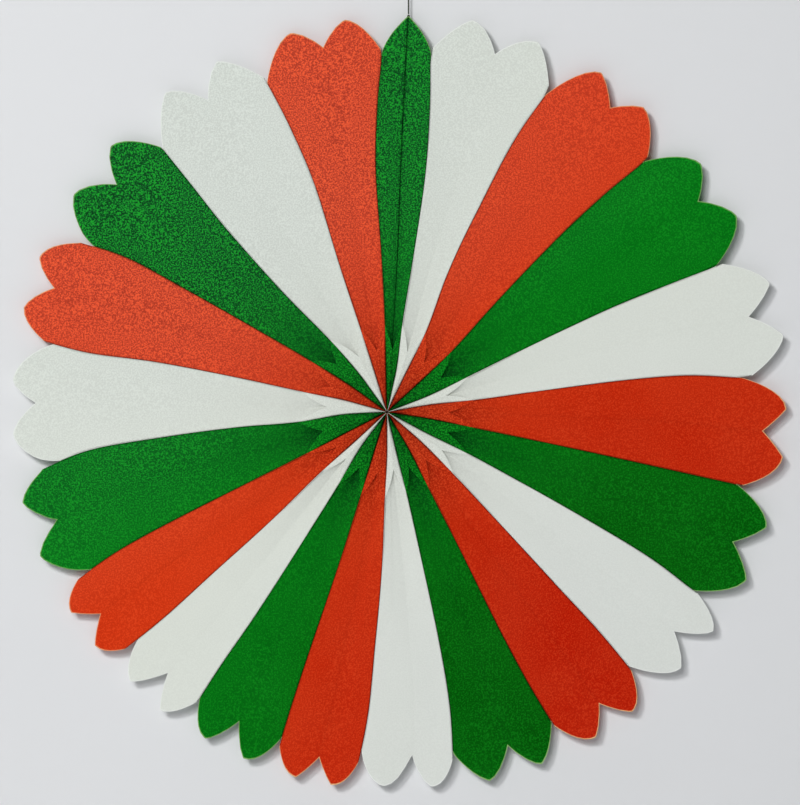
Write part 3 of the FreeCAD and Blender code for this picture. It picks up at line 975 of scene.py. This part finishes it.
    def flap(self, row: GridRow, share: float, distance: float, height: float, inward: int) -> None:
        """Adds the fold and the flap that runs back from it, on one row.

        Args:
            row: the row to add to.
            share: the fold's place across the petal.
            distance: the row's distance from the hub on the flap.
            height: height of the leaf at the fold.
            inward: 1 at the left side of the petal and -1 at its right side.
        """
        seam = self.place(share, distance)
        start = self.flap_start if abs(share - 0.5) > 0.1 else self.point + FOOT_STEP
        back = blend(height - 0.6, self.flap_back, ease(start - 2, start + 2, distance))
        top = height - self.fold_radius
        section = []
        for step in range(1, 4):
            angle = math.radians(22.5 * step)
            across = self.paper / 2 + self.fold_radius * (1 - math.sin(angle))
            section.append((across, height - self.fold_radius * (1 - math.cos(angle))))
        for step in range(1, 5):
            section.append((self.paper / 2, blend(top, min(back, top - 0.1), step / 4)))
        if inward > 0:
            section.reverse()
        turn = math.radians(seam)
        aside = Vector((math.cos(turn), 0.0, -math.sin(turn))) * inward
        squeeze = min(1.0, distance / 6.0)
        marks = self.marks_at(share, distance, seam, row.at_rim)
        for across, level in section:
            point = in_frame(seam, distance, level) + aside * across * squeeze
            # Painted shade: the flap gets darker the further back it runs.
            row.add(point, marks | {"fold": min(1.0, 0.55 + (height - level) * 0.5)})

    def marks_at(
        self, share: float, distance: float, bearing: float, at_rim: bool
    ) -> dict[str, float]:
        """Marks of one point: painted shade in folds and valleys, rim, grain, painted sheen and
        painted shade on the lower right.

        Args:
            share: the point's place across the petal.
            distance: its distance from the hub.
            bearing: its bearing.
            at_rim: whether it lies on the cut edge.

        Returns:
            One value for each of MARKS.
        """
        aside = abs(share - 0.5) * 2
        foot, half = self.foot(share), self.half_width(distance)
        to_seam, to_middle = (1 - aside) * half, aside * half
        valley = 0.0
        if distance < foot:
            fold = self.shade.inside(aside, distance, foot, to_seam)
        else:
            valley = self.shade.valley(aside, distance - foot)
            fold = self.shade.outside(to_middle, to_seam, self.half != 0)
        fold = max(fold, self.shade.line(abs(distance - foot)))
        # Painted sheen towards the upper left and painted shade towards the lower right, by bearing.
        painted_sheen = self.lean(bearing, SHEEN_TOWARDS, distance)
        painted_side_shade = self.lean(bearing, SIDE_SHADE_TOWARDS, distance)
        return {
            "fold": min(fold, 1.0),
            "valley": valley,
            "rim": 0.55 + 0.35 * painted_side_shade if at_rim else 0.0,
            "painted_sheen": painted_sheen,
            "grit": max(painted_sheen, 0.75 * (1 - ease(20.0, 70.0, distance))),
            "painted_side_shade": painted_side_shade,
        }

    def build(self) -> bpy.types.Object:
        """Makes the sheet's object, with the paper's thickness, in place of its CAD node."""
        name = self.name + "_sheet"
        made = add_object(name, grid_mesh(name, self.grid()), PAPERS[self.colour], (self.name,))
        thickness = made.modifiers.new("paper", "SOLIDIFY")
        thickness.thickness = self.paper * MM
        thickness.offset = 0.0
        return made


@dataclass
class Rosette:
    """All the folded sheets, clockwise round the hub, and the ring of thread that gathers them."""

    tie_distance: float = 3.13
    tie_height: float = -0.5
    tie_radius: float = 0.25

    def seams(self) -> list[Seam]:
        """The seams, each with the foot of the chevrons beside it."""
        points = [CLOSING_POINT, *[point for _, point in OUTLINES]]
        made = []
        for index, seam in enumerate(SEAMS):
            foot = (points[index] + points[(index + 1) % len(points)]) / 2 + FOOT_STEP
            made.append(Seam(seam.bearings, foot))
        return made

    def sheets(self) -> list[FoldedSheet]:
        """Every folded sheet, with the closing petal's two halves last."""
        seams = self.seams()
        order = (Colour.GREEN, Colour.WHITE, Colour.RED)
        made = []
        for index, (outline, point) in enumerate(OUTLINES):
            number = index + 2
            colour = order[(number - 1) % 3]
            name = "petal_%02d_%s" % (number, colour.value)
            sides = seams[index], seams[index + 1]
            made.append(FoldedSheet(name, colour, *sides, outline, point, seed=number))
        for name, half, seed in (("closing_leaf_left", -1, 39.0), ("closing_leaf_right", 1, 41.0)):
            sides = seams[-1], seams[0]
            made.append(FoldedSheet(name, Colour.GREEN, *sides, Arch(), half=half, seed=seed))
        self.match_flaps([made[-1], *made[:-1]])
        return made

    def match_flaps(self, ring: list[FoldedSheet]) -> None:
        """Ends the two flaps at each seam together, at the lower of the two outlines."""
        for before, after in zip(ring, ring[1:]):
            end = min(before.rim(1.0), after.rim(0.0))
            before.right_end = after.left_end = end

    def tie(self) -> bpy.types.Object:
        """The ring of thread through the leaves, straight from seam to seam."""
        corners = [in_frame(seam.bearings[0], self.tie_distance, self.tie_height) for seam in SEAMS]
        path = []
        for index, corner in enumerate(corners):
            after = corners[(index + 1) % len(corners)]
            for step in range(4):
                path.append(corner.lerp(after, step / 4))
        mesh = strand_mesh("centre_tie_thread", path, self.tie_radius, True)
        return add_object("centre_tie_thread", mesh, TIE_THREAD, ("centre_tie",))

    def build(self) -> list[bpy.types.Object]:
        """Builds the sheets and the tie."""
        return [*[sheet.build() for sheet in self.sheets()], self.tie()]


def frames(path: list[Vector], closed: bool) -> Iterator[tuple[Vector, Vector, Vector]]:
    """Walks along a path with two directions across it that turn as little as they can.

    Args:
        path: points along a middle line.
        closed: whether the path ends where it starts.

    Yields:
        Each point with its two unit vectors across the path.
    """
    normal, count = FIRST_NORMAL.copy(), len(path)
    for index, point in enumerate(path):
        ahead = path[(index + 1) % count] if closed else path[min(index + 1, count - 1)]
        behind = path[index - 1] if closed or index else path[0]
        way = (ahead - behind).normalized()
        normal = (normal - way * normal.dot(way)).normalized()
        yield point, normal, way.cross(normal)


def tube_mesh(
    name: str, paths: list[list[Vector]], radius: float, closed: bool, sides: int = 8
) -> bpy.types.Mesh:
    """Mesh of round strands along paths.

    Args:
        name: the mesh's name.
        paths: points in millimetres along each strand's middle line.
        radius: radius of each strand.
        closed: whether each path ends where it starts.
        sides: sides of the round section.

    Returns:
        The mesh, in metres.
    """
    vertices: list[tuple[float, ...]] = []
    faces: list[tuple[int, ...]] = []
    for path in paths:
        base, count = len(vertices), len(path)
        for point, normal, side in frames(path, closed):
            for step in range(sides):
                turn = math.tau * step / sides
                offset = normal * math.cos(turn) + side * math.sin(turn)
                vertices.append(tuple((point + offset * radius) * MM))
        for index in range(count if closed else count - 1):
            for step in range(sides):
                a = base + index * sides + step
                b = base + index * sides + (step + 1) % sides
                after = base + ((index + 1) % count) * sides
                faces.append((a, b, after + (step + 1) % sides, after + step))
        if not closed:
            faces.append(tuple(base + step for step in range(sides))[::-1])
            faces.append(tuple(base + (count - 1) * sides + step for step in range(sides)))
    mesh = bpy.data.meshes.new(name)
    mesh.from_pydata(vertices, [], faces)
    mesh.shade_smooth()
    return mesh


def plies(
    path: list[Vector], radius: float, closed: bool, turn_length: float = 1.9
) -> list[list[Vector]]:
    """Middle lines of three plies twisted round a path.

    Args:
        path: points along the thread's middle line, close together.
        radius: outer radius of the thread.
        closed: whether the path ends where it starts.
        turn_length: length of thread for one full turn.

    Returns:
        One list of points for each ply.
    """
    lengths = [0.0]
    for first, second in zip(path, path[1:]):
        lengths.append(lengths[-1] + (second - first).length)
    total = lengths[-1] + ((path[0] - path[-1]).length if closed else 0.0)
    turns = max(1, round(total / turn_length))
    lines: list[list[Vector]] = [[], [], []]
    for length, (point, normal, side) in zip(lengths, frames(path, closed)):
        for number, line in enumerate(lines):
            twist = math.tau * (turns * length / total + number / 3)
            out = normal * math.cos(twist) + side * math.sin(twist)
            line.append(point + out * radius * PLY_OFFSET)
    return lines


def divided(path: list[Vector], closed: bool) -> list[Vector]:
    """The same path with points a ply step apart."""
    fine = []
    count = len(path)
    for index in range(count if closed else count - 1):
        first, second = path[index], path[(index + 1) % count]
        steps = max(1, round((second - first).length / PLY_STEP))
        fine += [first.lerp(second, step / steps) for step in range(steps)]
    if not closed:
        fine.append(path[-1])
    return fine


def strand_mesh(
    name: str,
    path: list[Vector],
    radius: float,
    closed: bool = False,
    knot: list[Vector] | None = None,
) -> bpy.types.Mesh:
    """Mesh of a three-ply twisted thread along a path.

    Args:
        name: the mesh's name.
        path: points in millimetres along the thread's middle line.
        radius: outer radius of the thread.
        closed: whether the path ends where it starts.
        knot: middle line of a knot on the thread, if it has one.

    Returns:
        The mesh, in metres.
    """
    lines = plies(divided(path, closed), radius, closed)
    if knot:
        lines.append(knot)
    return tube_mesh(name, lines, radius * PLY_RADIUS, closed)


@dataclass
class Hanger:
    """The thread that the fan hangs from: a tie round the tip, a taut run and a knotted loop.

    The radius is that of the solids' plain rods, and the twist radius reaches over the plies'
    crowns. Levels are in millimetres below the nail, and the lean is the petal's, in degrees.
    """

    radius: float = 0.3
    twist_radius: float = 0.4
    tip_knot: float = -47.697
    loop_knot: float = -14.0
    run_low: float = -46.8485
    run_high: float = -14.8485
    run_guide: float = 3.6
    loop_half: float = 3.5
    tie_half: float = 0.55
    hole_depth: float = 6.6
    lean: float = 3.1
    knot_steps: int = 60
    knot_half: float = 0.36
    knot_swing: float = 0.2

    def knot_path(self, middle: Vector) -> list[Vector]:
        """Middle line of an overhand knot: a small trefoil."""
        points = []
        for step in range(self.knot_steps):
            turn = math.tau * step / self.knot_steps
            wide = self.knot_half + self.knot_swing * math.cos(3 * turn)
            across, deep = wide * math.cos(2 * turn), wide * math.sin(2 * turn) * 0.95
            rise = 0.24 * math.sin(3 * turn) + 0.18 * math.sin(turn)
            points.append(middle + Vector((across, deep, rise)))
        return points

    def thread(self) -> tuple[bpy.types.Object, list[Vector]]:
        """The taut run between the two knots, twisted from three plies.

        Returns:
            The run's object, and the points in metres along its middle line.
        """
        middle = -31.0
        guides = self.run_low + self.run_guide, middle, self.run_high - self.run_guide
        route = (self.run_low, *guides, self.run_high)
        curve = bpy.data.curves.new("thread_route", "CURVE")
        curve.dimensions = "3D"
        spline = curve.splines.new("NURBS")
        spline.points.add(len(route) - 1)
        for point, level in zip(spline.points, route):
            point.co = (0.0, 0.0, level * MM, 1.0)
        spline.order_u = 3
        spline.use_endpoint_u = True
        spline.resolution_u = 12
        holder = bpy.data.objects.new("thread_route", curve)
        bpy.context.scene.collection.objects.link(holder)
        line = bpy.data.meshes.new_from_object(holder)
        followed = [vertex.co.copy() for vertex in line.vertices]
        bpy.data.objects.remove(holder)
        mesh = strand_mesh("taut_thread", [point / MM for point in followed], self.twist_radius)
        return add_object("taut_thread", mesh, DARK_THREAD, ("hanging_thread",)), followed

    def tip(self) -> bpy.types.Object:
        """The thread through the closing petal's hole and up to its knot."""
        turn = math.radians(self.lean)
        up = Vector((math.sin(turn), 0.0, math.cos(turn)))
        side = Vector((math.cos(turn), 0.0, -math.sin(turn)))
        knot = Vector((0.0, 0.0, self.tip_knot))
        low = knot - up * (self.hole_depth - self.tie_half)
        path = [knot - side * self.tie_half * 0.4]
        for step in range(6):
            path.append(knot.lerp(low, (step + 1) / 6) - side * self.tie_half)
        for step in range(1, 9):
            bend = math.pi * step / 9
            path.append(low - (up * math.sin(bend) + side * math.cos(bend)) * self.tie_half)
        for step in range(6):
            path.append(low.lerp(knot, step / 6) + side * self.tie_half)
        path.append(knot + side * self.tie_half * 0.4)
        mesh = strand_mesh("tip_thread", path, self.twist_radius, knot=self.knot_path(knot))
        return add_object("tip_thread", mesh, DARK_THREAD, ("tip_tie",))

    def loop(self) -> bpy.types.Object:
        """The loop that goes over a nail, and the knot that closes it."""
        middle = Vector((0.0, 0.0, self.radius - self.loop_half))
        knot = Vector((0.0, 0.0, self.loop_knot))
        reach = (middle - knot).length
        slant = math.asin(self.loop_half / reach)
        path = [knot]
        for step in range(41):
            turn = blend(-slant, math.pi + slant, step / 40)
            path.append(middle + Vector((math.cos(turn), 0.0, math.sin(turn))) * self.loop_half)
        path.append(knot)
        mesh = strand_mesh("loop_thread", path, self.twist_radius, knot=self.knot_path(knot))
        return add_object("loop_thread", mesh, DARK_THREAD, ("hanging_loop",))

    def build(self) -> list[bpy.types.Object]:
        tip, loop = self.tip(), self.loop()
        thread, followed = self.thread()
        [tuple(point) for point in followed]
        return [tip, loop, thread]


@dataclass
class Studio:
    """Pale wall and floor, soft light from the upper left, and the camera.

    Lengths are in millimetres, apart from the reach of wall and floor, which is in metres.
    """

    wall_back: float = 3.0
    floor_level: float = -800.0
    reach: float = 4.0
    wall_colour: Rgb = (0.69, 0.7, 0.71, 1.0)
    floor_colour: Rgb = (0.74, 0.745, 0.76, 1.0)
    sky_colour: Rgb = (0.95, 0.97, 1.0, 1.0)
    sky_light: float = 0.09
    sky_seen: float = 0.65
    view_right: float = 6.74
    view_up: float = 4.93
    view_height: float = 417.6
    camera_distance: float = 3000.0
    sensor: float = 36.0

    def surface(self, name: str, corners: list[tuple[float, float, float]], colour: Rgb) -> None:
        """Adds a flat pale surface that can't be seen from behind.

        Args:
            name: the surface's name.
            corners: its corners in metres, counter-clockwise as seen from its front.
            colour: its colour.
        """
        mesh = bpy.data.meshes.new(name)
        mesh.from_pydata(corners, [], [(0, 1, 2, 3)])
        made = bpy.data.objects.new(name, mesh)
        bpy.context.scene.collection.objects.link(made)
        material = bpy.data.materials.new(name)
        material.use_nodes = True
        nodes = NodeTree(material.node_tree)
        shader = material.node_tree.nodes["Principled BSDF"]
        layer = nodes.add("ShaderNodeTexNoise")
        nodes.feed(layer.inputs["Vector"], nodes.add("ShaderNodeTexCoord").outputs["Object"])
        layer.inputs["Scale"].default_value = 3.0
        soft = nodes.spread(layer.outputs["Fac"], 0.3, 0.7, 0.0, 0.12)
        nodes.feed(shader.inputs["Base Color"], nodes.mix(soft, colour, (0.9, 0.9, 0.9, 1.0)))
        shader.inputs["Roughness"].default_value = 0.9
        shader.inputs["Specular IOR Level"].default_value = 0.1
        clear = nodes.add("ShaderNodeBsdfTransparent")
        both = nodes.add("ShaderNodeMixShader")
        behind = nodes.add("ShaderNodeNewGeometry").outputs["Backfacing"]
        seen = nodes.add("ShaderNodeLightPath").outputs["Is Camera Ray"]
        nodes.feed(both.inputs[0], nodes.calculate("MULTIPLY", behind, seen))
        nodes.feed(both.inputs[1], shader.outputs[0])
        nodes.feed(both.inputs[2], clear.outputs[0])
        nodes.feed(material.node_tree.nodes["Material Output"].inputs["Surface"], both.outputs[0])
        mesh.materials.append(material)
        made.visible_shadow = False

    def lamp(self, name: str, place: tuple[float, float, float], size: float, watts: float) -> None:
        """Adds a soft square light that shines on the middle of the fan.

        Args:
            name: the light's name.
            place: its place in metres.
            size: its side in metres.
            watts: its power.
        """
        light = bpy.data.lights.new(name, "AREA")
        light.size = size
        light.energy = watts
        made = bpy.data.objects.new(name, light)
        bpy.context.scene.collection.objects.link(made)
        made.location = place
        made.rotation_mode = "QUATERNION"
        made.rotation_quaternion = (HUB * MM - made.location).to_track_quat("-Z", "Y")

    def camera(self) -> None:
        """Adds the camera: straight in front of the fan, with a long lens."""
        data = bpy.data.cameras.new("camera")
        data.sensor_width = self.sensor
        data.lens = self.sensor * (self.camera_distance + HUB.y) / self.view_height
        made = bpy.data.objects.new("camera", data)
        bpy.context.scene.collection.objects.link(made)
        target = HUB + Vector((self.view_right, 0.0, self.view_up))
        made.location = Vector((target.x, -self.camera_distance, target.z)) * MM
        made.rotation_euler = (math.pi / 2, 0.0, 0.0)
        bpy.context.scene.camera = made

    def build(self) -> None:
        """Builds the stage, the lights and the camera."""
        back, low, reach = self.wall_back * MM, self.floor_level * MM, self.reach
        self.surface(
            "wall",
            [(-reach, back, low), (reach, back, low), (reach, back, reach), (-reach, back, reach)],
            self.wall_colour,
        )
        self.surface(
            "floor",
            [(-reach, -reach, low), (reach, -reach, low), (reach, reach, low), (-reach, reach, low)],
            self.floor_colour,
        )
        self.lamp("key", place=(-1.5, -2.6, 1.2), size=0.5, watts=44.0)
        self.lamp("front_fill", place=(-0.9, -3.0, 0.9), size=1.3, watts=46.0)
        self.lamp("back_fill", place=(0.9, 1.9, 0.6), size=1.6, watts=12.0)
        world = bpy.data.worlds.new("studio")
        world.use_nodes = True
        nodes = NodeTree(world.node_tree)
        sky = world.node_tree.nodes["Background"]
        sky.inputs[0].default_value = self.sky_colour
        seen = nodes.add("ShaderNodeLightPath").outputs["Is Camera Ray"]
        nodes.feed(sky.inputs[1], nodes.spread(seen, 0.0, 1.0, self.sky_light, self.sky_seen))
        bpy.context.scene.world = world
        bpy.context.scene.view_settings.view_transform = "Standard"
        self.camera()


def main() -> None:
    """Builds the fan and its studio."""
    logging.basicConfig(level=logging.INFO, format="%(name)s: %(message)s")
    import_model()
    Rosette().build()
    Hanger().build()
    Studio().build()


if __name__ == "__main__":
    main()
